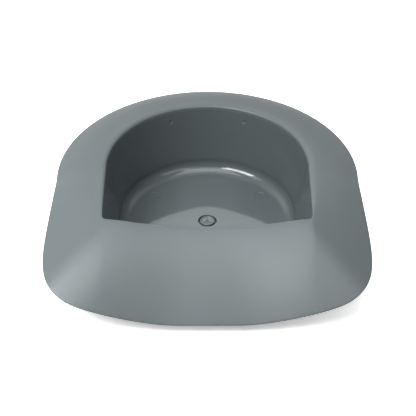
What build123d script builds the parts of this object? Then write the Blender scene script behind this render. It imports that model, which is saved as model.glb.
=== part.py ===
from build123d import *
import math
import os

# ---------------------------------------------------------------------------
# Pet bathtub: a round-backed basin moulded in one piece with a wide drooping
# flange and a scooped front apron.  It stands on four rubber feet and empties
# through a fitted drain closed by a push-in plug.  Millimetres, +Z up, +Y to
# the back.  The origin is the centre of the footprint, at the level the feet
# stand on.
# ---------------------------------------------------------------------------

# Plan.  Every outline of the shell is half an ellipse at the back and a squarer
# curve in front, drawn around one shared centre on the middle plane.
drain_y = 19.0                # drain axis
plan_centre_y = drain_y - 5.0
wall = 3.0                    # shell thickness
square_start = 0.35           # sine of the plan angle by which a front is fully square

# An outline is (half width, reach to the back, reach to the front, squareness in
# front, widening towards the front).
floor_outline = (161.0, 161.0, 129.0, 9.0, 10.0)      # where the floor ends and the cove starts
foot_outline = (187.0, 187.0, 156.0, 14.0, 6.0)       # where the wall meets the cove
rim_outline = (212.5, 219.0, 176.3, 40.0, 0.0)        # corner between wall and flange
edge_outline = (315.5, 315.5, 343.5, 5.7, 62.7)       # outer edge of flange and apron

# Levels above the standing plane
floor_z = 15.0                # inner floor beside the drain
rim_z = 170.0                 # top of the flange beside the opening
rear_edge_z = 141.0           # outer edge round the back and the rear of the sides
corner_edge_z = 81.0          # level the outer edge falls towards at the front corners
front_edge_z = 28.0           # outer edge in the middle of the front

# Basin
cove_height = 26.0            # height of the cove between floor and wall
floor_fall = 0.035            # the floor falls this much per mm towards the drain
drain_land_radius = 24.0      # flat ring of floor around the drain
side_roll = 14.0              # width of the rounding from the wall onto the flange
front_roll = 4.0              # the same rounding at the front lip
roll_shape = 0.5              # height of that rounding relative to its width
roll_change = (0.45, 0.65)    # sines of the plan angles between which it narrows

# Flange and apron: from a shoulder beside the opening they curve down to the outer edge
shoulder_outline = (207.0, 207.0, 182.0, 7.0, 0.0)    # where the fall starts
side_power = 2.0              # shape of the fall round the back and sides, 1 is straight
apron_power = 1.26            # the same in front
power_change = (10.0, 40.0)   # degrees in front of the side between which it changes
edge_fall_start = 8.0         # degrees in front of the side where the edge starts to fall
edge_fall_turn = 45.0         # degrees over which it falls
edge_dip_start = 55.0         # half width of the lowest stretch of the front edge
edge_dip_width = 305.0        # width over which the edge climbs out of that dip
dip_turn_start = 40.0         # degrees in front of the side where the dip may start
dip_turn = 10.0

# Shallow scoop in the apron, from the front lip to the outer edge
lip_scoop = 26.5              # depth of the scoop at the lip
scoop_half_width = 216.0
scoop_section = 2.2           # power of its cross-section, 2 is a parabola
scoop_softness = 0.04         # share of its depth lost to its rounded border
scoop_power = 1.35            # shape of its fall towards the outer edge, 1 is straight

# Drain recess in the floor
recess_radius = 19.2
recess_floor_z = 9.0
recess_skin = 2.5

# Overlaps used only to build the solids
fuse_overlap = 0.5            # how far joined solids run into each other
cut_margin = 5.0              # how far a cutter runs beyond what it cuts

# Drain fitting, its gasket and its nut
gasket_thickness = 0.8
fitting_flange_radius = 18.6
fitting_flange = 1.5
neck_radius = 12.9
neck_clearance = 0.1
neck_bottom_z = 2.0
bore_radius = 10.6
grate_thickness = 2.0
grate_bars = 3
grate_bar_width = 2.2
grate_hub_radius = 3.0
nut_radius = 18.0
nut_lug_reach = 2.6
nut_lugs = 6
nut_lug_width = 5.0
nut_drop = 0.5                # the neck reaches this far below the nut
gasket_edge_gap = 0.2

# Plug
cap_radius = 16.3
cap_height = 4.4
cap_rim_width = 3.6
cap_hollow = 1.7              # depth of the finger dish in the cap
grip_bar_length = 9.0
grip_bar_width = 2.4
grip_bar_height = 1.2
spigot_radius = 9.6
spigot_wall = 2.0
spigot_length = 6.0
seal_gap = 0.05               # running gap between the seal and the bore
seal_height = 2.0
seal_groove_depth = 1.2
seal_drop = 2.0               # distance of the groove below the cap
cap_rounding = 1.2
cap_chamfer = 0.4
dish_rounding = 1.0
grip_bars = 3

# Two shallow round dimples high on the back wall
mark_angle = 67.5             # plan angle from +X, and the same from -X
mark_z = 141.0
mark_ball = 5.0               # radius of the ball that cuts a dimple
mark_depth = 0.8

# Feet, pressed into sockets under the floor
foot_x = 114.5
foot_y = 82.0
foot_radius = 14.0
foot_height = 12.0
foot_edge_round = 1.5
foot_pad_radius = 9.0
foot_pad_depth = 1.2
stem_radius = 4.5
stem_length = 4.6
boss_radius = 15.5
dimple_radius = 13.5
dimple_step = 0.1             # depth of a dimple's shallow side

# Fineness of the shell's lofted sections
points_per_half = 52
angle_steps = 720
corner_crowding = 9.0         # how much closer the sections lie at the opening's corners
corner_crowd_width = 0.08     # radians
cove_steps = (0.25, 0.5, 0.75, 1.0)
third_steps = (0.33, 0.67, 1.0)
flange_steps = (0.12, 0.26, 0.4, 0.54, 0.68, 0.82, 0.92, 1.0)


def smooth_step(value):
    t = min(max(value, 0.0), 1.0)
    return t * t * (3.0 - 2.0 * t)


def mix(a, b, t):
    return a + (b - a) * t


def outline_radius(angle, half_width, back_reach, front_reach, squareness, widening):
    """Distance from the plan centre to an outline, at an angle from +X."""
    c = abs(math.cos(angle))
    s = -math.sin(angle)
    if s <= 0.0:
        return 1.0 / math.hypot(c / half_width, s / back_reach)
    blend = smooth_step(s / square_start)
    power = mix(2.0, squareness, blend)
    width = half_width + widening * s * s
    depth = mix(half_width, front_reach, blend)
    return ((c / width) ** power + (s / depth) ** power) ** (-1.0 / power)


def outline_point(angle, radius, z):
    return Vector(radius * math.cos(angle), plan_centre_y + radius * math.sin(angle), z)


def rim_radius(angle):
    return outline_radius(angle, *rim_outline)


def edge_radius(angle):
    return outline_radius(angle, *edge_outline)


def degrees_ahead(angle):
    """Degrees in front of the side, negative behind it."""
    return -math.degrees(math.asin(math.sin(angle)))


def edge_height(angle):
    """Level of the outer edge: even at the back, falling to the front middle."""
    ahead = degrees_ahead(angle)
    fall = smooth_step((ahead - edge_fall_start) / edge_fall_turn)
    z = mix(rear_edge_z, corner_edge_z, fall)
    x = edge_radius(angle) * math.cos(angle)
    middle = 1.0 - smooth_step((abs(x) - edge_dip_start) / edge_dip_width)
    turn = smooth_step((ahead - dip_turn_start) / dip_turn)
    return z - (corner_edge_z - front_edge_z) * middle * turn


def scoop_share(x, y):
    """How far a place lies in the scoop: 1 on the middle plane, 0 from its border out."""
    if y >= plan_centre_y:
        return 0.0
    across = 1.0 - abs(x / scoop_half_width) ** scoop_section
    return max(across - scoop_softness, 0.0) / (1.0 - scoop_softness)


def flange_point(angle, t):
    """Top of the flange or apron, t going from the opening to the outer edge."""
    shoulder = outline_radius(angle, *shoulder_outline)
    radius = mix(rim_radius(angle), edge_radius(angle), t)
    part = max((radius - shoulder) / (edge_radius(angle) - shoulder), 0.0)
    start, end = power_change
    change = smooth_step((degrees_ahead(angle) - start) / (end - start))
    outside = mix(rim_z, edge_height(angle), part ** mix(side_power, apron_power, change))
    inside = mix(rim_z - lip_scoop, edge_height(angle), t ** scoop_power)
    flat = outline_point(angle, radius, 0.0)
    return Vector(flat.X, flat.Y, mix(outside, inside, scoop_share(flat.X, flat.Y)))


def floor_height(distance):
    """Level of the inner floor at a distance from the drain axis."""
    return floor_z + floor_fall * max(distance - drain_land_radius, 0.0)


def skin_profile(angle):
    """The top skin along one plan angle, in zones that share their end points."""
    land = Vector(
        drain_land_radius * math.cos(angle),
        drain_y + drain_land_radius * math.sin(angle),
        floor_z,
    )
    floor_end = outline_point(angle, outline_radius(angle, *floor_outline), 0.0)
    from_drain = math.hypot(floor_end.X, floor_end.Y - drain_y)
    floor_end = Vector(floor_end.X, floor_end.Y, floor_height(from_drain))
    foot_radius_here = outline_radius(angle, *foot_outline)
    knee = outline_point(angle, foot_radius_here, floor_end.Z)
    foot = outline_point(angle, foot_radius_here, floor_end.Z + cove_height)
    corner = flange_point(angle, 0.0)
    narrowing = smooth_step((-math.sin(angle) - roll_change[0]) / (roll_change[1] - roll_change[0]))
    roll = mix(side_roll, front_roll, narrowing)
    roll_part = roll / (edge_radius(angle) - rim_radius(angle))
    rim = flange_point(angle, roll_part)
    wall_top = corner - (corner - foot).normalized() * roll * roll_shape

    arc_weight = math.cos(math.pi / 4.0)
    floor = [mix(land, floor_end, t) for t in (0.0, 0.5, 1.0)]
    cove = []
    for t in cove_steps:
        a, b, c = (1 - t) ** 2, 2 * t * (1 - t) * arc_weight, t * t
        cove.append((floor_end * a + knee * b + foot * c) / (a + b + c))
    side = [mix(foot, wall_top, t) for t in third_steps]
    over = []
    for t in third_steps:
        over.append(wall_top * (1 - t) ** 2 + corner * 2 * t * (1 - t) + rim * t * t)
    flange = [flange_point(angle, mix(roll_part, 1.0, t)) for t in flange_steps]
    return floor, cove, side, over, flange


def loop_angles():
    """Plan angles round the shell, closer together at the opening's corners."""
    corner = math.atan2(-rim_outline[2], rim_outline[0])
    total = [0.0]
    for i in range(angle_steps):
        angle = math.pi / 2 - math.pi * (i + 0.5) / angle_steps
        near = (angle - corner) / corner_crowd_width
        total.append(total[-1] + 1.0 + corner_crowding * math.exp(-near * near))
    angles = []
    j = 0
    for i in range(points_per_half):
        target = total[-1] * i / points_per_half
        while total[j + 1] < target:
            j += 1
        part = (target - total[j]) / (total[j + 1] - total[j])
        angles.append(math.pi / 2 - math.pi * (j + part) / angle_steps)
    return angles + [-math.pi / 2] + [math.pi - a for a in reversed(angles[1:])]


def under_skin(top):
    """The same grid moved one wall thickness in from the top skin."""
    count = len(top)
    levels = len(top[0])
    under = []
    for i in range(count):
        row = [top[i][0] - Vector(0, 0, wall)]
        for k in range(1, levels):
            along = top[i][min(k + 1, levels - 1)] - top[i][k - 1]
            around = top[(i + 1) % count][k] - top[i - 1][k]
            row.append(top[i][k] - around.cross(along).normalized() * wall)
        under.append(row)
    return under


def build_shell_skin():
    """Closed shell of even thickness, without its drain, sockets and dimples."""
    zones = [skin_profile(a) for a in loop_angles()]
    top = [sum(parts, []) for parts in zones]
    under = under_skin(top)
    count = len(top)
    levels = len(top[0])

    nose = []
    for upper, lower in zip(top, under):
        outward = (upper[-1] - upper[-2]).normalized()
        nose.append((upper[-1] + lower[-1]) * 0.5 + outward * (wall / 2.0))
    loops = [[row[k] for row in top] for k in range(levels)]
    loops.append(nose)
    loops += [[row[k] for row in under] for k in reversed(range(levels))]

    knots = [float(i) for i in range(count + 1)]
    wires = []
    for loop in loops:
        wires.append(Wire([Edge.make_spline(loop, periodic=True, parameters=knots)]))

    ends = [0]
    size = -1
    for zone in zones[0]:
        size += len(zone)
        ends.append(size)
    breaks = ends + [len(wires) - 1 - k for k in reversed(ends)]
    faces = [Face(wires[0]), Face(wires[-1])]
    for first, last in zip(breaks[:-1], breaks[1:]):
        faces += Shell.make_loft(wires[first:last + 1]).faces()
    return Solid(Shell(faces))


def wall_place(angle, z):
    """Point of the straight wall at a plan angle and level, and the way out of the wall there."""
    wall_line = skin_profile(angle)[2]
    low, high = wall_line[0], wall_line[-1]
    along = (high - low).normalized()
    around = Vector(-math.sin(angle), math.cos(angle), 0)
    return low + (high - low) * ((z - low.Z) / (high.Z - low.Z)), along.cross(around).normalized()


def upright(radius, bottom, top, x=0.0, y=0.0):
    """Vertical cylinder between two levels."""
    return Pos(x, y, bottom) * Cylinder(
        radius, top - bottom, align=(Align.CENTER, Align.CENTER, Align.MIN)
    )


def tube(outer, inner, bottom, top, x=0.0, y=0.0):
    bore = upright(inner, bottom - cut_margin, top + cut_margin, x, y)
    return upright(outer, bottom, top, x, y) - bore


def foot_places():
    return {
        "foot_front_left": (-foot_x, drain_y - foot_y),
        "foot_front_right": (foot_x, drain_y - foot_y),
        "foot_rear_left": (-foot_x, drain_y + foot_y),
        "foot_rear_right": (foot_x, drain_y + foot_y),
    }


def build_tub_shell():
    shell = build_shell_skin()
    boss_bottom = recess_floor_z - recess_skin
    hole_radius = neck_radius + neck_clearance
    shell += upright(recess_radius + recess_skin, boss_bottom, floor_z - fuse_overlap, 0, drain_y)
    shell -= upright(recess_radius, recess_floor_z, floor_z + cut_margin, 0, drain_y)
    shell -= upright(hole_radius, boss_bottom - cut_margin, recess_floor_z + cut_margin, 0, drain_y)

    dimple_z = floor_height(math.hypot(foot_x, foot_y) - dimple_radius) - dimple_step
    for x, y in foot_places().values():
        shell += upright(boss_radius, foot_height, dimple_z - fuse_overlap, x, y)
        shell -= upright(dimple_radius, dimple_z, dimple_z + cut_margin, x, y)
        shell -= upright(stem_radius, foot_height - cut_margin, foot_height + stem_length, x, y)

    for angle in (mark_angle, 180.0 - mark_angle):
        place, inward = wall_place(math.radians(angle), mark_z)
        centre = place + inward * (mark_ball - mark_depth)
        shell -= Pos(centre.X, centre.Y, centre.Z) * Sphere(mark_ball)
    return shell


def build_foot(x, y):
    foot = upright(foot_radius, 0, foot_height, x, y)
    foot = fillet(foot.edges().group_by(Axis.Z)[0], foot_edge_round)
    foot -= upright(foot_pad_radius, -cut_margin, foot_pad_depth, x, y)
    foot += upright(stem_radius, foot_height, foot_height + stem_length, x, y)
    return foot


fitting_z = recess_floor_z + gasket_thickness
seat_z = fitting_z + fitting_flange
cap_top_z = seat_z + cap_height


def build_fitting():
    """Flanged neck with a three-spoke hair grate across its outlet."""
    flange = upright(fitting_flange_radius, fitting_z, seat_z, 0, drain_y)
    neck = upright(neck_radius, neck_bottom_z, fitting_z, 0, drain_y)
    bore = upright(bore_radius, neck_bottom_z - cut_margin, seat_z + cut_margin, 0, drain_y)
    fitting = flange + neck - bore
    grate_top = neck_bottom_z + grate_thickness
    fitting += upright(grate_hub_radius, neck_bottom_z, grate_top, 0, drain_y)
    for i in range(grate_bars):
        bar = Pos(bore_radius / 2, 0, neck_bottom_z) * Box(
            bore_radius + fuse_overlap,
            grate_bar_width,
            grate_thickness,
            align=(Align.CENTER, Align.CENTER, Align.MIN),
        )
        fitting += Pos(0, drain_y, 0) * Rot(0, 0, 90 + 360 * i / grate_bars) * bar
    return fitting


def build_gasket():
    return tube(
        fitting_flange_radius - gasket_edge_gap,
        neck_radius + neck_clearance,
        recess_floor_z,
        fitting_z,
        0,
        drain_y,
    )


def build_nut():
    """Flat ring nut with grip lugs, under the drain recess."""
    bottom = neck_bottom_z + nut_drop
    top = recess_floor_z - recess_skin
    nut = upright(nut_radius, bottom, top, 0, drain_y)
    for i in range(nut_lugs):
        lug = Pos(nut_radius, 0, bottom) * Box(
            2 * nut_lug_reach,
            nut_lug_width,
            top - bottom,
            align=(Align.CENTER, Align.CENTER, Align.MIN),
        )
        nut += Pos(0, drain_y, 0) * Rot(0, 0, 360 * i / nut_lugs) * lug
    return nut - upright(neck_radius + neck_clearance, 0, top + cut_margin, 0, drain_y)


def build_plug():
    """Cap with a raised rim and three finger bars, over a hollow spigot."""
    cap = upright(cap_radius, seat_z, cap_top_z, 0, drain_y)
    cap = fillet(cap.edges().group_by(Axis.Z)[-1], cap_rounding)
    cap = chamfer(cap.edges().group_by(Axis.Z)[0], cap_chamfer)
    dish_floor = cap_top_z - cap_hollow
    dish_radius = cap_radius - cap_rim_width
    dish = upright(dish_radius, dish_floor, cap_top_z + cut_margin, 0, drain_y)
    dish = fillet(dish.edges().group_by(Axis.Z)[0], dish_rounding)
    plug = cap - dish
    for i in range(grip_bars):
        bar = Pos(grip_bar_length / 2, 0, dish_floor - fuse_overlap) * Box(
            grip_bar_length,
            grip_bar_width,
            grip_bar_height + fuse_overlap,
            align=(Align.CENTER, Align.CENTER, Align.MIN),
        )
        plug += Pos(0, drain_y, 0) * Rot(0, 0, 90 + 360 * i / grip_bars) * bar

    spigot_bottom = seat_z - spigot_length
    plug += upright(spigot_radius, spigot_bottom, seat_z, 0, drain_y)
    hollow_radius = spigot_radius - seal_groove_depth - spigot_wall
    plug -= upright(hollow_radius, spigot_bottom - cut_margin, seat_z, 0, drain_y)
    groove_top = seat_z - seal_drop
    plug -= tube(
        spigot_radius + cut_margin,
        spigot_radius - seal_groove_depth,
        groove_top - seal_height,
        groove_top,
        0,
        drain_y,
    )
    return plug


def build_seal():
    groove_top = seat_z - seal_drop
    return tube(
        bore_radius - seal_gap,
        spigot_radius - seal_groove_depth,
        groove_top - seal_height,
        groove_top,
        0,
        drain_y,
    )


def build_parts():
    parts = {
        "tub_shell": build_tub_shell(),
        "drain_fitting": build_fitting(),
        "fitting_gasket": build_gasket(),
        "lock_nut": build_nut(),
        "drain_plug": build_plug(),
        "plug_seal": build_seal(),
    }
    for name, (x, y) in foot_places().items():
        parts[name] = build_foot(x, y)
    return parts


def main():
    os.makedirs("parts", exist_ok=True)
    for name, shape in build_parts().items():
        export_step(shape, "parts/" + name + ".step")


if __name__ == "__main__":
    main()
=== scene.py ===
import math

import bmesh
import bpy
import numpy as np
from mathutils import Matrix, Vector


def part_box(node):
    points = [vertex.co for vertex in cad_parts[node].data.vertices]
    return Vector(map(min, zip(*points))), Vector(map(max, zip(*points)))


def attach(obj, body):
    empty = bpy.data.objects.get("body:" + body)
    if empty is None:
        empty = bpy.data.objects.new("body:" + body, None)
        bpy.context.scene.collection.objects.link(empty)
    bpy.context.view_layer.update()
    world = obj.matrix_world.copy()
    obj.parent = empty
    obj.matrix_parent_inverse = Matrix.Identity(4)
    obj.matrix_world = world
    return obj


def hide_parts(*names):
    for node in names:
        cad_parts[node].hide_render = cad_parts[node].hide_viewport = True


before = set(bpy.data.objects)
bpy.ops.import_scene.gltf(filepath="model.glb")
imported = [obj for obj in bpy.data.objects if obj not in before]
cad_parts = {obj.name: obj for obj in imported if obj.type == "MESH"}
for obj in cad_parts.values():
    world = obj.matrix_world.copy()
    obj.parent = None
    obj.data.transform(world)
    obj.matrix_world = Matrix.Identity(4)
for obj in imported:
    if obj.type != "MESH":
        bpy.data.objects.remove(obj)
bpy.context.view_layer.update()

# Pet bathtub: the visual model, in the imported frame. Metres, +Z up, +Y to the round back.
# The shell follows the same outlines and levels as the CAD shell, as one closed mesh of
# quads. Its dimples, sockets and foot bosses are cut and joined afterwards.

MM = 0.001

# --- places and sizes read from the frame ---------------------------------------------
plug_low, plug_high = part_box("drain_plug")
seal_low, seal_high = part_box("plug_seal")
fitting_low, fitting_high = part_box("drain_fitting")
gasket_low, gasket_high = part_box("fitting_gasket")
nut_low, nut_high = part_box("lock_nut")
foot_names = ("foot_front_left", "foot_front_right", "foot_rear_left", "foot_rear_right")
foot_boxes = {name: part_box(name) for name in foot_names}

drain_y = (plug_low.y + plug_high.y) / 2
plan_centre_y = drain_y - 5 * MM
recess_floor_z = gasket_low.z
seat_z = fitting_high.z

# --- shell: levels above the floor it stands on ---------------------------------------
inset = 0.15 * MM                # gap to the CAD shell at the top of the rim and at the outer edge
front_inset = 1.4 * inset        # the same gap in front
wall = 3 * MM
floor_z = 15 * MM                # inner floor beside the drain
rim_z = 170 * MM - inset         # top of the flange beside the opening
rear_edge_z = 141 * MM           # outer edge round the back and the rear of the sides
corner_edge_z = 81 * MM          # level the outer edge falls towards at the front corners
front_edge_z = 28 * MM           # outer edge in the middle of the front

# --- shell: outlines ------------------------------------------------------------------
# Half width, reach to the back, reach to the front, squareness in front and widening
# towards the front, all round the plan centre.
floor_outline = (161 * MM, 161 * MM, 129 * MM, 9.0, 10 * MM)
foot_outline = (187 * MM, 187 * MM, 156 * MM, 14.0, 6 * MM)
rim_outline = (212.5 * MM, 219 * MM, 176.3 * MM, 40.0, 0.0)
shoulder_outline = (207 * MM, 207 * MM, 182 * MM, 7.0, 0.0)
edge_half_width = 315.5 * MM - inset
edge_front_reach = 343.5 * MM - front_inset
edge_outline = (edge_half_width, edge_half_width, edge_front_reach, 5.7, 62.7 * MM)
square_start = 0.35              # sine of the plan angle by which a front is fully square

# --- shell: basin and rim -------------------------------------------------------------
cove_height = 26 * MM            # height of the cove between floor and wall
floor_fall = 0.035               # the floor falls this much per metre towards the drain
land_radius = 24 * MM            # flat ring of floor round the drain
side_roll = 14 * MM              # width of the rounding from the wall onto the flange
front_roll = 4 * MM              # the same rounding at the front lip
roll_shape = 0.5                 # height of that rounding relative to its width
roll_change = (0.45, 0.65)       # sines of the plan angles between which it narrows

# --- shell: flange and apron ----------------------------------------------------------
side_power = 2.0                 # shape of the fall round the back and sides, 1 is straight
apron_power = 1.26               # the same in front
power_change = (10.0, 40.0)      # degrees in front of the side between which it changes
edge_fall_start = 8.0            # degrees in front of the side where the edge starts to fall
edge_fall_turn = 45.0            # degrees over which it falls
edge_dip_start = 55 * MM         # half width of the lowest stretch of the front edge
edge_dip_width = 305 * MM        # width over which the edge climbs out of that dip
dip_turn_start = 40.0            # degrees in front of the side where the dip may start
dip_turn = 10.0                  # degrees over which it starts
lip_scoop = 26.5 * MM            # depth of the scoop at the front lip
scoop_half_width = 216 * MM
scoop_section = 2.2              # power of its cross-section, 2 is a parabola
scoop_softness = 0.04            # share of its depth lost to its rounded border
scoop_power = 1.35               # shape of its fall towards the outer edge, 1 is straight

# --- shell: drain recess, foot bosses and wall marks ----------------------------------
recess_radius = 19.2 * MM
recess_skin = 2.5 * MM
neck_hole_radius = 13 * MM
foot_boss_z = 12 * MM            # underside of the bosses that the feet press against
foot_stem_radius = 4.5 * MM
boss_radius = 15.5 * MM
dimple_radius = 13.5 * MM
dimple_step = 0.1 * MM           # depth of a dimple's shallow side
mark_angle = 67.5                # degrees from the right side, and the same from the left
mark_z = 141 * MM
mark_ball = 5 * MM               # radius of the ball that cuts a mark
mark_depth = 0.8 * MM
fit_gap = 0.06 * MM              # between a foot's stem and its socket

# --- mesh fineness --------------------------------------------------------------------
LOOP = 480     # points round the shell
ROUND = 128     # points round a turned piece
FLOOR_LOOPS = 40
COVE_LOOPS = 22
WALL_LOOPS = 16
ROLL_LOOPS = 8
FLANGE_LOOPS = 56
NOSE_STEPS = 8
MARK_STEPS = 24
FILLET_STEPS = 4


# --- small maths ----------------------------------------------------------------------
def smooth_step(value):
    """0 below 0, 1 above 1 and an S curve between them."""
    t = np.clip(value, 0.0, 1.0)
    return t * t * (3.0 - 2.0 * t)


def mix(a, b, t):
    """From a at t = 0 to b at t = 1."""
    return a + (b - a) * t


def unit(v):
    return v / np.linalg.norm(v, axis=-1, keepdims=True)


# --- shell surface --------------------------------------------------------------------
def outline_radius(angle, half_width, back_reach, front_reach, squareness, widening):
    """Distance from the plan centre to an outline: an ellipse behind, squarer in front."""
    c = np.abs(np.cos(angle))
    s = np.maximum(-np.sin(angle), 0.0)
    behind = 1.0 / np.hypot(c / half_width, np.sin(angle) / back_reach)
    blend = smooth_step(s / square_start)
    power = mix(2.0, squareness, blend)
    width = half_width + widening * s * s
    depth = mix(half_width, front_reach, blend)
    squared = ((c / width) ** power + (s / depth) ** power) ** (-1.0 / power)
    return np.where(s > 0.0, squared, behind)


def rim_radius(angle):
    return outline_radius(angle, *rim_outline)


def edge_radius(angle):
    return outline_radius(angle, *edge_outline)


def degrees_ahead(angle):
    """Degrees in front of the side, negative behind it."""
    return -np.degrees(np.arcsin(np.sin(angle)))


def edge_height(angle):
    """Level of the outer edge: even at the back, falling to the front middle."""
    ahead = degrees_ahead(angle)
    z = mix(rear_edge_z, corner_edge_z, smooth_step((ahead - edge_fall_start) / edge_fall_turn))
    x = edge_radius(angle) * np.cos(angle)
    middle = 1.0 - smooth_step((np.abs(x) - edge_dip_start) / edge_dip_width)
    turn = smooth_step((ahead - dip_turn_start) / dip_turn)
    return z - (corner_edge_z - front_edge_z) * middle * turn


def plan_point(angle, radius, z):
    """Points round the plan centre."""
    x = radius * np.cos(angle)
    y = plan_centre_y + radius * np.sin(angle)
    return np.stack([x, y, np.broadcast_to(z, x.shape)], axis=-1)


def drain_point(angle, radius, z):
    """Points round the drain axis."""
    x = radius * np.cos(angle)
    y = drain_y + radius * np.sin(angle)
    return np.stack([x, y, np.full_like(x, z)], axis=-1)


def floor_level(from_drain):
    """Level of the sloping floor at a distance from the drain axis."""
    return floor_z + floor_fall * (from_drain - land_radius)


def scoop_share(x, y):
    """How far a place lies in the scoop: 1 on the middle plane, 0 from its border out."""
    across = 1.0 - np.abs(x / scoop_half_width) ** scoop_section
    share = np.maximum(across - scoop_softness, 0.0) / (1.0 - scoop_softness)
    return np.where(y < plan_centre_y, share, 0.0)


def flange_point(angle, t):
    """Top of the flange or apron, t going from the opening to the outer edge."""
    shoulder = outline_radius(angle, *shoulder_outline)
    radius = mix(rim_radius(angle), edge_radius(angle), t)
    part = np.maximum((radius - shoulder) / (edge_radius(angle) - shoulder), 0.0)
    start, end = power_change
    change = smooth_step((degrees_ahead(angle) - start) / (end - start))
    outside = mix(rim_z, edge_height(angle), part ** mix(side_power, apron_power, change))
    inside = mix(rim_z - lip_scoop, edge_height(angle), t ** scoop_power)
    flat = plan_point(angle, radius, 0.0)
    flat[:, 2] = mix(outside, inside, scoop_share(flat[:, 0], flat[:, 1]))
    return flat


def loop_angles():
    """Plan angles round the shell, crowded where the opening has its corners."""
    half_width, _, front_reach = rim_outline[:3]
    corner = math.atan2(-front_reach, half_width)
    crowding = 14.0
    crowd_width = 0.05
    samples = 20001
    fine = np.linspace(math.pi / 2, -math.pi / 2, samples)
    middle = (fine[1:] + fine[:-1]) / 2
    weight = 1.0 + crowding * np.exp(-((middle - corner) / crowd_width) ** 2)
    total = np.concatenate([[0.0], np.cumsum(weight)])
    half = np.interp(np.linspace(0, total[-1], LOOP // 2 + 1), total, fine)
    return np.concatenate([half, math.pi - half[-2:0:-1]])


def curve_steps(start, corner, end, steps):
    """Points of a soft corner between two points, without its first point."""
    out = []
    for t in np.linspace(0, 1, steps + 1)[1:]:
        out.append(start * (1 - t) ** 2 + corner * 2 * t * (1 - t) + end * t * t)
    return out


def top_skin(angle):
    """Loops of the top skin from the floor's flat land out to the outer edge."""
    land = drain_point(angle, land_radius, floor_z)
    floor_end = plan_point(angle, outline_radius(angle, *floor_outline), 0.0)
    from_drain = np.hypot(floor_end[:, 0], floor_end[:, 1] - drain_y)
    floor_end[:, 2] = floor_level(from_drain)
    foot_here = outline_radius(angle, *foot_outline)
    knee = plan_point(angle, foot_here, floor_end[:, 2])
    foot = plan_point(angle, foot_here, floor_end[:, 2] + cove_height)
    corner = flange_point(angle, 0.0)
    start, end = roll_change
    narrowing = smooth_step((-np.sin(angle) - start) / (end - start))
    roll = mix(side_roll, front_roll, narrowing)
    roll_part = roll / (edge_radius(angle) - rim_radius(angle))
    rim = flange_point(angle, roll_part)
    wall_top = corner - unit(corner - foot) * (roll * roll_shape)[:, None]

    arc_weight = math.cos(math.pi / 4)
    loops = [mix(land, floor_end, t) for t in np.linspace(0, 1, FLOOR_LOOPS)]
    for t in np.linspace(0, 1, COVE_LOOPS)[1:]:
        a, b, c = (1 - t) ** 2, 2 * t * (1 - t) * arc_weight, t * t
        loops.append((floor_end * a + knee * b + foot * c) / (a + b + c))
    loops += [mix(foot, wall_top, t) for t in np.linspace(0, 1, WALL_LOOPS)[1:]]
    loops += curve_steps(wall_top, corner, rim, ROLL_LOOPS)
    for t in np.linspace(0, 1, FLANGE_LOOPS)[1:]:
        loops.append(flange_point(angle, mix(roll_part, 1.0, t)))
    return loops


# --- mesh building --------------------------------------------------------------------
def add_object(name, mesh):
    obj = bpy.data.objects.new(name, mesh)
    bpy.context.scene.collection.objects.link(obj)
    return obj


def outward(mesh):
    """Turns all faces of a closed mesh outwards."""
    same_place = 1e-7
    work = bmesh.new()
    work.from_mesh(mesh)
    bmesh.ops.remove_doubles(work, verts=work.verts, dist=same_place)
    bmesh.ops.recalc_face_normals(work, faces=work.faces)
    work.to_mesh(mesh)
    work.free()


def mesh_from_grid(name, grid):
    """Closed ring-shaped mesh from loops of points, the last loop joined to the first."""
    rows, count = grid.shape[:2]
    a = np.arange(rows * count).reshape(rows, count)
    b = np.roll(a, -1, axis=1)
    c = np.roll(b, -1, axis=0)
    d = np.roll(a, -1, axis=0)
    quads = np.stack([a, b, c, d], axis=-1).reshape(-1, 4)
    mesh = bpy.data.meshes.new(name)
    mesh.from_pydata(grid.reshape(-1, 3).tolist(), [], quads.tolist())
    outward(mesh)
    return mesh


def rounded_profile(corners):
    """Profile of (radius, height, rounding) corners with the roundings worked in."""
    places = [np.array(corner[:2], dtype=float) for corner in corners]
    out = []
    for i, here in enumerate(places):
        rounding = corners[i][2] if len(corners[i]) > 2 else 0.0
        if rounding == 0.0:
            out.append(here)
            continue
        before = here + unit(places[i - 1] - here) * rounding
        after = here + unit(places[(i + 1) % len(places)] - here) * rounding
        out += [before] + curve_steps(before, here, after, FILLET_STEPS)
    return out


def revolve(name, corners, x, y, closed=False):
    """Turned solid about a vertical axis; a profile that isn't closed starts and ends on it."""
    on_axis = 1e-9
    turns = np.linspace(0, 2 * math.pi, ROUND, endpoint=False)
    verts, rings, faces = [], [], []
    for radius, z in rounded_profile(corners):
        first = len(verts)
        if radius < on_axis:
            verts.append((x, y, z))
            rings.append([first] * ROUND)
            continue
        verts += [(x + radius * math.cos(a), y + radius * math.sin(a), z) for a in turns]
        rings.append(list(range(first, first + ROUND)))
    uppers = rings[1:] + rings[:1] if closed else rings[1:]
    for lower, upper in zip(rings, uppers):
        for i in range(ROUND):
            j = (i + 1) % ROUND
            face = list(dict.fromkeys([lower[i], lower[j], upper[j], upper[i]]))
            if len(face) > 2:
                faces.append(face)
    mesh = bpy.data.meshes.new(name)
    mesh.from_pydata(verts, [], faces)
    outward(mesh)
    return add_object(name, mesh)


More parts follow.
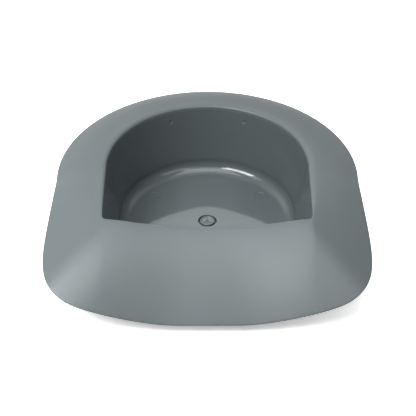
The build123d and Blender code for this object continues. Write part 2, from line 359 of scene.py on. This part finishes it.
def soft_box(name, size, rounding, centre, turn):
    """Box with rounded edges, turned about the vertical."""
    work = bmesh.new()
    bmesh.ops.create_cube(work, size=1.0)
    bmesh.ops.scale(work, vec=size, verts=work.verts)
    edges = work.edges[:]
    bmesh.ops.bevel(work, geom=edges, offset=rounding, segments=3, affect="EDGES", profile=0.5)
    for vert in work.verts:
        x, y = vert.co.x, vert.co.y
        vert.co.x = centre[0] + x * math.cos(turn) - y * math.sin(turn)
        vert.co.y = centre[1] + x * math.sin(turn) + y * math.cos(turn)
        vert.co.z += centre[2]
    mesh = bpy.data.meshes.new(name)
    work.to_mesh(mesh)
    work.free()
    return add_object(name, mesh)


def combine(target, tool, operation):
    """Joins or cuts a closed mesh with another and keeps the result in the first."""
    modifier = target.modifiers.new("combine", "BOOLEAN")
    modifier.solver = "MANIFOLD"
    modifier.operation = operation
    modifier.object = tool
    bpy.context.view_layer.update()
    depsgraph = bpy.context.evaluated_depsgraph_get()
    mesh = bpy.data.meshes.new_from_object(target.evaluated_get(depsgraph))
    target.modifiers.clear()
    spare = [target.data, tool.data]
    target.data = mesh
    bpy.data.objects.remove(tool)
    for old in spare:
        bpy.data.meshes.remove(old)
    mesh.name = target.name


def finish_piece(obj, node, body):
    """Shades a piece, hides the CAD node it stands for and hangs it on its body."""
    sharp_angle = math.radians(38)
    obj.data.shade_smooth()
    obj.data.set_sharp_from_angle(angle=sharp_angle)
    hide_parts(node)
    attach(obj, body)


# --- shell ----------------------------------------------------------------------------
def shell_grid():
    """All loops of the shell: recess, floor, walls, flange, edge, underside, recess again."""
    angle = loop_angles()
    skin = np.array(top_skin(angle))
    along = np.gradient(skin, axis=0)
    around = np.roll(skin, -1, axis=1) - np.roll(skin, 1, axis=1)
    under = skin - unit(np.cross(around, along)) * wall
    under[0] = skin[0] - np.array([0, 0, wall])

    boss_z = recess_floor_z - recess_skin
    boss_around = recess_radius + recess_skin
    land_inside = land_radius - 0.4 * MM
    seam_z = boss_z + 0.85 * MM
    seam_half = 0.15 * MM
    inner = rounded_profile(
        [
            (neck_hole_radius, seam_z + seam_half),
            (neck_hole_radius, recess_floor_z, 0.4 * MM),
            (recess_radius, recess_floor_z, 0.8 * MM),
            (recess_radius, floor_z, 0.9 * MM),
            (land_inside, floor_z),
        ]
    )
    outer = rounded_profile(
        [
            (land_inside, floor_z - wall),
            (boss_around, floor_z - wall, 0.6 * MM),
            (boss_around, boss_z, 0.7 * MM),
            (neck_hole_radius, boss_z, 0.4 * MM),
            (neck_hole_radius, seam_z - seam_half),
        ]
    )
    middle = (skin[-1] + under[-1]) / 2
    out = unit(skin[-1] - skin[-2])
    up = unit(skin[-1] - under[-1])
    nose = []
    for turn in np.linspace(0, math.pi, NOSE_STEPS + 1)[1:-1]:
        nose.append(middle + (out * math.sin(turn) + up * math.cos(turn)) * wall / 2)
    loops = [drain_point(angle, radius, z) for radius, z in inner]
    loops += list(skin) + nose + list(under[::-1])
    loops += [drain_point(angle, radius, z) for radius, z in outer]
    return np.array(loops)


def add_foot_place(shell, x, y, stem_top):
    """Boss under the floor, flat round dimple above it and the socket for the foot's stem."""
    from_drain = math.hypot(x, y - drain_y)
    low = foot_boss_z
    inside = floor_level(from_drain) - wall / 2
    boss = [(0, low), (boss_radius, low, 0.6 * MM), (boss_radius, inside), (0, inside)]
    combine(shell, revolve("boss", boss, x, y), "UNION")

    low = floor_level(from_drain - dimple_radius) - dimple_step
    lip = low + 1.2 * MM
    top = low + wall
    inner = dimple_radius - 0.5 * MM
    outer = dimple_radius + 0.4 * MM
    dimple = [(0, low), (inner, low, 0.4 * MM), (outer, lip), (outer, top), (0, top)]
    combine(shell, revolve("dimple", dimple, x, y), "DIFFERENCE")

    bore = foot_stem_radius + fit_gap
    end = stem_top + fit_gap
    socket = [(0, 0), (bore, 0), (bore, end), (0, end)]
    combine(shell, revolve("socket", socket, x, y), "DIFFERENCE")


def wall_place(angle, z):
    """Point of the straight wall at one plan angle and level, and the way into the basin."""
    skin = [loop[0] for loop in top_skin(np.array([angle]))]
    foot = FLOOR_LOOPS + COVE_LOOPS - 2
    low, high = skin[foot], skin[foot + WALL_LOOPS - 1]
    along = unit(high - low)
    around = np.array([-math.sin(angle), math.cos(angle), 0.0])
    place = mix(low, high, (z - low[2]) / (high[2] - low[2]))
    return place, unit(np.cross(along, around))


def add_wall_mark(shell, angle):
    """Shallow round dimple high on the back wall."""
    place, inward = wall_place(angle, mark_z)
    centre = place + inward * (mark_ball - mark_depth)
    arc = []
    for turn in np.linspace(-math.pi / 2, math.pi / 2, MARK_STEPS + 1):
        radius = max(mark_ball * math.cos(turn), 0.0)
        arc.append((radius, centre[2] + mark_ball * math.sin(turn)))
    combine(shell, revolve("mark", arc, centre[0], centre[1]), "DIFFERENCE")


def build_shell():
    """The whole tub moulding as one closed mesh."""
    shell = add_object("tub_shell_skin", mesh_from_grid("tub_shell_skin", shell_grid()))
    for low, high in foot_boxes.values():
        add_foot_place(shell, (low.x + high.x) / 2, (low.y + high.y) / 2, high.z)
    for angle in (mark_angle, 180 - mark_angle):
        add_wall_mark(shell, math.radians(angle))
    return shell


# --- drain pieces ---------------------------------------------------------------------
def add_spokes(target, reach, size, rounding, z):
    """Three bars in a star round the drain axis, one of them pointing to the back."""
    bars = 3
    for i in range(bars):
        turn = math.radians(90 + 360 / bars * i)
        centre = (reach * math.cos(turn), drain_y + reach * math.sin(turn), z)
        combine(target, soft_box("spoke", size, rounding, centre, turn), "UNION")


def build_plug():
    """Cap with a rounded raised rim, a finger dish with three bars, and a hollow spigot."""
    cap = (plug_high.x - plug_low.x) / 2
    top = plug_high.z
    rim_width = 3.6 * MM
    rim_slope = 0.6 * MM
    dish = cap - rim_width
    dish_z = top - 1.7 * MM
    spigot = 9.6 * MM
    groove = 8.4 * MM
    hollow = 6.4 * MM
    hollow_top = seat_z + 1.0 * MM
    corners = [
        (0, dish_z),
        (dish, dish_z, 1.0 * MM),
        (dish + rim_slope, top, 0.7 * MM),
        (cap, top, 1.6 * MM),
        (cap, seat_z, 0.4 * MM),
        (spigot, seat_z, 0.3 * MM),
        (spigot, seal_high.z, 0.1 * MM),
        (groove, seal_high.z),
        (groove, seal_low.z),
        (spigot, seal_low.z, 0.1 * MM),
        (spigot, plug_low.z, 0.6 * MM),
        (hollow, plug_low.z, 0.4 * MM),
        (hollow, hollow_top, 0.8 * MM),
        (0, hollow_top),
    ]
    plug = revolve("drain_plug_cap", corners, 0, drain_y)
    bar = (9.5 * MM, 2.4 * MM, 1.9 * MM)
    bar_reach = 5.2 * MM
    bar_z = dish_z + 0.3 * MM
    add_spokes(plug, bar_reach, bar, 0.6 * MM, bar_z)
    return plug


def build_seal():
    """Rubber ring with two soft lips that press on the drain throat."""
    out = (seal_high.x - seal_low.x) / 2
    inside = 8.45 * MM
    waist = out - 0.7 * MM
    low, high = seal_low.z, seal_high.z
    corners = [
        (inside, low),
        (out, low, 0.3 * MM),
        (waist, (low + high) / 2, 0.2 * MM),
        (out, high, 0.3 * MM),
        (inside, high),
    ]
    return revolve("plug_seal_ring", corners, 0, drain_y, closed=True)


def build_fitting():
    """Flanged neck with a countersunk mouth and a three-spoke hair grate."""
    flange = (fitting_high.x - fitting_low.x) / 2
    bore = 10.6 * MM
    mouth = bore + 0.8 * MM
    mouth_depth = 1.0 * MM
    neck = 12.9 * MM
    low = fitting_low.z
    corners = [
        (bore, seat_z - mouth_depth),
        (mouth, seat_z, 0.2 * MM),
        (flange, seat_z, 0.6 * MM),
        (flange, gasket_high.z, 0.3 * MM),
        (neck, gasket_high.z, 0.2 * MM),
        (neck, low, 0.5 * MM),
        (bore, low, 0.4 * MM),
    ]
    fitting = revolve("drain_fitting_neck", corners, 0, drain_y, closed=True)
    thick = 2 * MM
    top = low + thick
    hub_radius = 3 * MM
    hub = [(0, low), (hub_radius, low, 0.4 * MM), (hub_radius, top, 0.5 * MM), (0, top)]
    combine(fitting, revolve("hub", hub, 0, drain_y), "UNION")
    spoke = (bore + 0.6 * MM, 2.2 * MM, thick - 0.1 * MM)
    spoke_reach = bore / 2 + 0.4 * MM
    add_spokes(fitting, spoke_reach, spoke, 0.45 * MM, low + thick / 2)
    return fitting


def build_gasket():
    """Flat rubber ring under the fitting's flange."""
    out = (gasket_high.x - gasket_low.x) / 2
    inside = 13.1 * MM
    low, high = gasket_low.z, gasket_high.z
    corners = [
        (inside, low, 0.2 * MM),
        (out, low, 0.25 * MM),
        (out, high, 0.25 * MM),
        (inside, high, 0.2 * MM),
    ]
    return revolve("fitting_gasket_ring", corners, 0, drain_y, closed=True)


def build_nut():
    """Flat ring nut with six rounded grip lugs."""
    lugs = 6
    body = 18 * MM
    inside = 13.05 * MM
    low, high = nut_low.z, nut_high.z
    corners = [
        (inside, low, 0.5 * MM),
        (body, low, 0.5 * MM),
        (body, high, 0.5 * MM),
        (inside, high, 0.3 * MM),
    ]
    nut = revolve("lock_nut_ring", corners, 0, drain_y, closed=True)
    lug_length = 5.6 * MM
    size = (lug_length, 5 * MM, high - low - 0.2 * MM)
    reach = nut_high.x - lug_length / 2
    for i in range(lugs):
        turn = math.radians(360 / lugs * i)
        centre = (reach * math.cos(turn), drain_y + reach * math.sin(turn), (low + high) / 2)
        combine(nut, soft_box("lug", size, 0.7 * MM, centre, turn), "UNION")
    return nut


def build_foot(name, low, high):
    """Rubber foot with a ringed sole, a grooved side and a stem pressed into the shell."""
    x, y = (low.x + high.x) / 2, (low.y + high.y) / 2
    out = (high.x - low.x) / 2
    hollow, hollow_height = 6.2 * MM, 1.2 * MM
    tread_height = 0.6 * MM
    tread_top, tread_foot = 0.3 * MM, 0.5 * MM      # half widths of a groove in the sole
    groove = out - 0.7 * MM
    corners = [(0, hollow_height), (hollow, hollow_height, 0.3 * MM)]
    corners.append((hollow + 0.4 * MM, 0.0, 0.3 * MM))
    for ring in (8.6 * MM, 10.8 * MM):
        corners += [
            (ring - tread_foot, 0.0, 0.1 * MM),
            (ring - tread_top, tread_height, 0.1 * MM),
            (ring + tread_top, tread_height, 0.1 * MM),
            (ring + tread_foot, 0.0, 0.1 * MM),
        ]
    corners += [
        (out - 0.8 * MM, 0.0, 1.1 * MM),
        (out, 4.5 * MM, 0.6 * MM),
        (groove, 5.6 * MM, 0.3 * MM),
        (groove, 6.4 * MM, 0.3 * MM),
        (out, 7.5 * MM, 0.6 * MM),
        (out, foot_boss_z, 0.6 * MM),
        (foot_stem_radius, foot_boss_z, 0.2 * MM),
        (foot_stem_radius, high.z, 0.6 * MM),
        (0, high.z),
    ]
    return revolve(name + "_pad", corners, x, y)


# --- materials ------------------------------------------------------------------------
class Look:
    """A node material with a Principled shader and short ways to add nodes."""

    def __init__(self, name):
        self.material = bpy.data.materials.new(name)
        self.material.use_nodes = True
        self.nodes = self.material.node_tree.nodes
        self.links = self.material.node_tree.links
        self.nodes.clear()
        self.shader = self.nodes.new("ShaderNodeBsdfPrincipled")
        output = self.nodes.new("ShaderNodeOutputMaterial")
        self.links.new(self.shader.outputs["BSDF"], output.inputs["Surface"])
        self.place = self.nodes.new("ShaderNodeTexCoord").outputs["Object"]

    def put(self, socket, name):
        self.links.new(socket, self.shader.inputs[name])

    def noise(self, size, detail=2.0):
        """Noise whose grains are about the given size in metres."""
        node = self.nodes.new("ShaderNodeTexNoise")
        node.inputs["Scale"].default_value = 1.0 / size
        node.inputs["Detail"].default_value = detail
        self.links.new(self.place, node.inputs["Vector"])
        return node.outputs["Fac"]

    def spread(self, socket, low, high):
        """A 0 to 1 value turned into a low to high value."""
        node = self.nodes.new("ShaderNodeMapRange")
        node.inputs["To Min"].default_value = low
        node.inputs["To Max"].default_value = high
        self.links.new(socket, node.inputs["Value"])
        return node.outputs["Result"]

    def shades(self, socket, color, change):
        """A colour that swings by a part of itself, darker and lighter."""
        node = self.nodes.new("ShaderNodeValToRGB")
        for element, factor in zip(node.color_ramp.elements, (1 - change, 1 + change)):
            element.color = (*[channel * factor for channel in color], 1.0)
        self.links.new(socket, node.inputs["Fac"])
        return node.outputs["Color"]

    def add(self, a, b):
        """Sum of two values."""
        node = self.nodes.new("ShaderNodeMath")
        self.links.new(a, node.inputs[0])
        self.links.new(b, node.inputs[1])
        return node.outputs["Value"]

    def bump(self, height, strength, depth):
        """Fine relief of the given depth in metres."""
        node = self.nodes.new("ShaderNodeBump")
        node.inputs["Distance"].default_value = depth
        self.links.new(strength, node.inputs["Strength"])
        self.links.new(height, node.inputs["Height"])
        self.put(node.outputs["Normal"], "Normal")

    def fixed(self, value):
        node = self.nodes.new("ShaderNodeValue")
        node.outputs[0].default_value = value
        return node.outputs[0]

    def on(self, obj):
        obj.data.materials.clear()
        obj.data.materials.append(self.material)


def mark_gloss(shell):
    """Point attribute: 1 on the polished floor, less on the basin wall, 0 everywhere else."""
    wall_gloss = 0.72
    gloss_start, gloss_change = 3 * MM, 14 * MM     # below the rim
    wall_start, wall_change = 25 * MM, 20 * MM      # above the floor
    past_rim = 2 * MM
    count = len(shell.data.vertices)
    co = np.zeros(count * 3, np.float32)
    shell.data.vertices.foreach_get("co", co)
    co = co.reshape(-1, 3)
    angle = np.arctan2(co[:, 1] - plan_centre_y, co[:, 0])
    beyond = np.hypot(co[:, 0], co[:, 1] - plan_centre_y) - rim_radius(angle)
    depth = flange_point(angle, 0.0)[:, 2] - co[:, 2]
    gloss = smooth_step((depth - gloss_start) / gloss_change) * (beyond < past_rim)
    height = co[:, 2] - floor_z
    gloss *= mix(1.0, wall_gloss, smooth_step((height - wall_start) / wall_change))
    attribute = shell.data.attributes.new("gloss", "FLOAT", "POINT")
    attribute.data.foreach_set("value", gloss.astype(np.float32))


def shell_look():
    """Grey-blue moulded plastic: polished inside, satin with a fine grain outside."""
    color = (0.129, 0.146, 0.1495)
    satin, polished = 0.42, 0.06
    patch_change = 0.02
    look = Look("shell_plastic")
    mask = look.nodes.new("ShaderNodeAttribute")
    mask.attribute_name = "gloss"
    gloss = mask.outputs["Fac"]
    look.put(look.shades(look.noise(160 * MM, 3.0), color, 0.03), "Base Color")
    patches = look.spread(look.noise(30 * MM), -patch_change, patch_change)
    look.put(look.add(look.spread(gloss, satin, polished), patches), "Roughness")
    look.bump(look.noise(0.7 * MM), look.spread(gloss, 0.22, 0.0), 0.25 * MM)
    return look


def hard_plastic_look(name, color, roughness):
    """Smooth moulded plastic with faint shades, patches and grain."""
    look = Look(name)
    look.put(look.shades(look.noise(6 * MM, 3.0), color, 0.06), "Base Color")
    look.put(look.spread(look.noise(4 * MM), roughness - 0.05, roughness + 0.07), "Roughness")
    look.bump(look.noise(0.9 * MM, 3.0), look.fixed(0.12), 0.2 * MM)
    return look


def rubber_look(name, color):
    """Matt rubber with a fine rough grain."""
    look = Look(name)
    look.put(look.shades(look.noise(5 * MM, 4.0), color, 0.2), "Base Color")
    look.put(look.spread(look.noise(2 * MM, 3.0), 0.55, 0.75), "Roughness")
    look.bump(look.noise(0.6 * MM, 4.0), look.fixed(0.35), 0.3 * MM)
    return look


# --- put the object together ----------------------------------------------------------
shell = build_shell()
finish_piece(shell, "tub_shell", "tub")
mark_gloss(shell)
shell_look().on(shell)

plug = build_plug()
finish_piece(plug, "drain_plug", "plug")
hard_plastic_look("plug_plastic", (0.145, 0.163, 0.167), 0.16).on(plug)

fitting = build_fitting()
finish_piece(fitting, "drain_fitting", "tub")
nut = build_nut()
finish_piece(nut, "lock_nut", "tub")
fitting_plastic = hard_plastic_look("fitting_plastic", (0.105, 0.114, 0.117), 0.3)
fitting_plastic.on(fitting)
fitting_plastic.on(nut)

rubber = rubber_look("rubber", (0.022, 0.024, 0.025))
gasket = build_gasket()
finish_piece(gasket, "fitting_gasket", "tub")
rubber.on(gasket)
seal = build_seal()
finish_piece(seal, "plug_seal", "plug")
rubber.on(seal)
for foot_name, (foot_low, foot_high) in foot_boxes.items():
    foot = build_foot(foot_name, foot_low, foot_high)
    finish_piece(foot, foot_name, "tub")
    rubber.on(foot)


# --- studio ---------------------------------------------------------------------------
def studio_floor():
    """Wide pale floor that the camera sees as nearly white."""
    half = 12.0
    glow = 0.5
    corners = [(-half, -half, 0), (half, -half, 0), (half, half, 0), (-half, half, 0)]
    mesh = bpy.data.meshes.new("studio_floor")
    mesh.from_pydata(corners, [], [(0, 1, 2, 3)])
    floor = add_object("studio_floor", mesh)
    look = Look("studio_white")
    look.put(look.shades(look.noise(0.5), (0.9, 0.9, 0.9), 0.01), "Base Color")
    look.shader.inputs["Roughness"].default_value = 0.9
    look.shader.inputs["Emission Color"].default_value = (1.0, 1.0, 1.0, 1.0)
    seen = look.nodes.new("ShaderNodeLightPath").outputs["Is Camera Ray"]
    look.put(look.spread(seen, 0.0, glow), "Emission Strength")
    look.on(floor)


def toward(azimuth, elevation):
    """Direction from the tub; azimuth in degrees from the back, turning to the right."""
    turn, rise = math.radians(azimuth), math.radians(elevation)
    level = math.cos(rise)
    return Vector((math.sin(turn) * level, math.cos(turn) * level, math.sin(rise)))


def softbox(name, azimuth, elevation, width, height, strength):
    """Rectangular soft light whose strength is the brightness of its face."""
    distance = 2.6
    centre = Vector((0, 0, 0.1))
    lamp = bpy.data.lights.new(name, "AREA")
    lamp.shape = "RECTANGLE"
    lamp.size = width
    lamp.size_y = height
    lamp.energy = strength * width * height * math.pi
    obj = bpy.data.objects.new(name, lamp)
    bpy.context.scene.collection.objects.link(obj)
    direction = toward(azimuth, elevation)
    obj.location = centre + direction * distance
    obj.rotation_euler = direction.to_track_quat("Z", "Y").to_euler()
    obj.visible_camera = False


def studio_world(sides):
    """Dark room with soft bright sides, given as (axis, sign, brightness)."""
    edge, full = 0.1, 0.6                       # along the axis, for a direction of length 1
    world = bpy.data.worlds.new("studio")
    bpy.context.scene.world = world
    world.use_nodes = True
    nodes, links = world.node_tree.nodes, world.node_tree.links
    place = nodes.new("ShaderNodeTexCoord")
    split = nodes.new("ShaderNodeSeparateXYZ")
    links.new(place.outputs["Generated"], split.inputs["Vector"])
    total = None
    for axis, sign, brightness in sides:
        side = nodes.new("ShaderNodeMapRange")
        side.interpolation_type = "SMOOTHSTEP"
        side.inputs["From Min"].default_value = edge * sign
        side.inputs["From Max"].default_value = full * sign
        side.inputs["To Max"].default_value = brightness
        links.new(split.outputs[axis], side.inputs["Value"])
        if total is None:
            total = side.outputs["Result"]
            continue
        add = nodes.new("ShaderNodeMath")
        links.new(total, add.inputs[0])
        links.new(side.outputs["Result"], add.inputs[1])
        total = add.outputs["Value"]
    links.new(total, nodes["Background"].inputs["Strength"])
    nodes["Background"].inputs["Color"].default_value = (1, 1, 1, 1)


def camera():
    """Long lens in front of the tub, looking down at it."""
    elevation = 38.0
    distance = 3.3
    target = Vector((1.3 * MM, drain_y - 39.5 * MM, 80 * MM))
    data = bpy.data.cameras.new("camera")
    data.lens = 135.4
    data.sensor_width = 36.0
    data.clip_end = 50.0
    obj = bpy.data.objects.new("camera", data)
    bpy.context.scene.collection.objects.link(obj)
    obj.location = target + toward(180, elevation) * distance
    obj.rotation_euler = (math.radians(90 - elevation), 0, 0)
    bpy.context.scene.camera = obj


studio_floor()
studio_world([("Y", 1, 0.95), ("X", -1, 0.8), ("X", 1, 0.35)])
softbox("back", 0, 42, 1.3, 1.0, 1.7)
softbox("key_front_left", -130, 47, 1.6, 0.9, 13.5)
softbox("left", -103, 50, 1.0, 1.0, 2.4)
softbox("front", 180, 60, 2.4, 1.3, 2.4)
softbox("front_right", 130, 42, 1.4, 1.0, 2.2)
softbox("overhead", 180, 85, 1.8, 1.8, 3.9)
camera()

bpy.context.scene.view_settings.view_transform = "Standard"
bpy.context.scene.view_settings.gamma = 1 / 1.5
